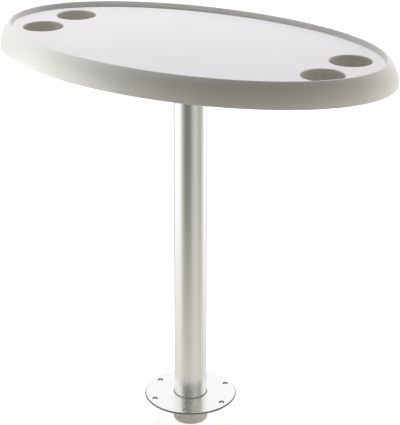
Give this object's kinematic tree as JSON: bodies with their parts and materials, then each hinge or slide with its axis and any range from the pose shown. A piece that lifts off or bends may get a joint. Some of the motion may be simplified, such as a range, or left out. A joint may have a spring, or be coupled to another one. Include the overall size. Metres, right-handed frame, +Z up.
{
  "type": "pedestal table",
  "caption": "Oval moulded tray table with cup wells on a single plug-in pole that stands in a recessed floor socket.",
  "frame": {"origin": "on the pole's axis at the floor surface, which is the underside of the floor plate", "axes": "+Z up along the pole, +X along the oval top's long side, +Y across it"},
  "size_m": [0.762, 0.4569, 0.7464],
  "materials": {
    "moulding": "satin off-white ABS moulding",
    "pole_tube": "satin anodised",
    "polished_plate": "mirror polished stainless steel",
    "socket_plastic": "matt warm grey moulding",
    "cast_flange": "as cast",
    "bush_plastic": "natural nylon",
    "screw_steel": "bright stainless steel"
  },
  "bodies": {
    "floor_base": {"floor_plate": "polished_plate", "floor_socket": "socket_plastic"},
    "pole": {"pole": "pole_tube"},
    "bush": {"swivel_bush": "bush_plastic"},
    "top": {"table_top": "moulding", "top_flange": "cast_flange", "top_screws": "screw_steel"}
  },
  "joints": [
    {"name": "pole_lift", "type": "slide", "parent": "floor_base", "child": "pole", "axis": [0, 0, 1], "range_m": [0, 0.06]},
    {"name": "top_lift", "type": "slide", "parent": "pole", "child": "bush", "axis": [0, 0, 1], "range_m": [0, 0.06]},
    {"name": "top_swivel", "type": "hinge", "parent": "bush", "child": "top", "pos_m": [0, 0, 0.638], "axis": [0, 0, 1], "continuous": true}
  ]
}
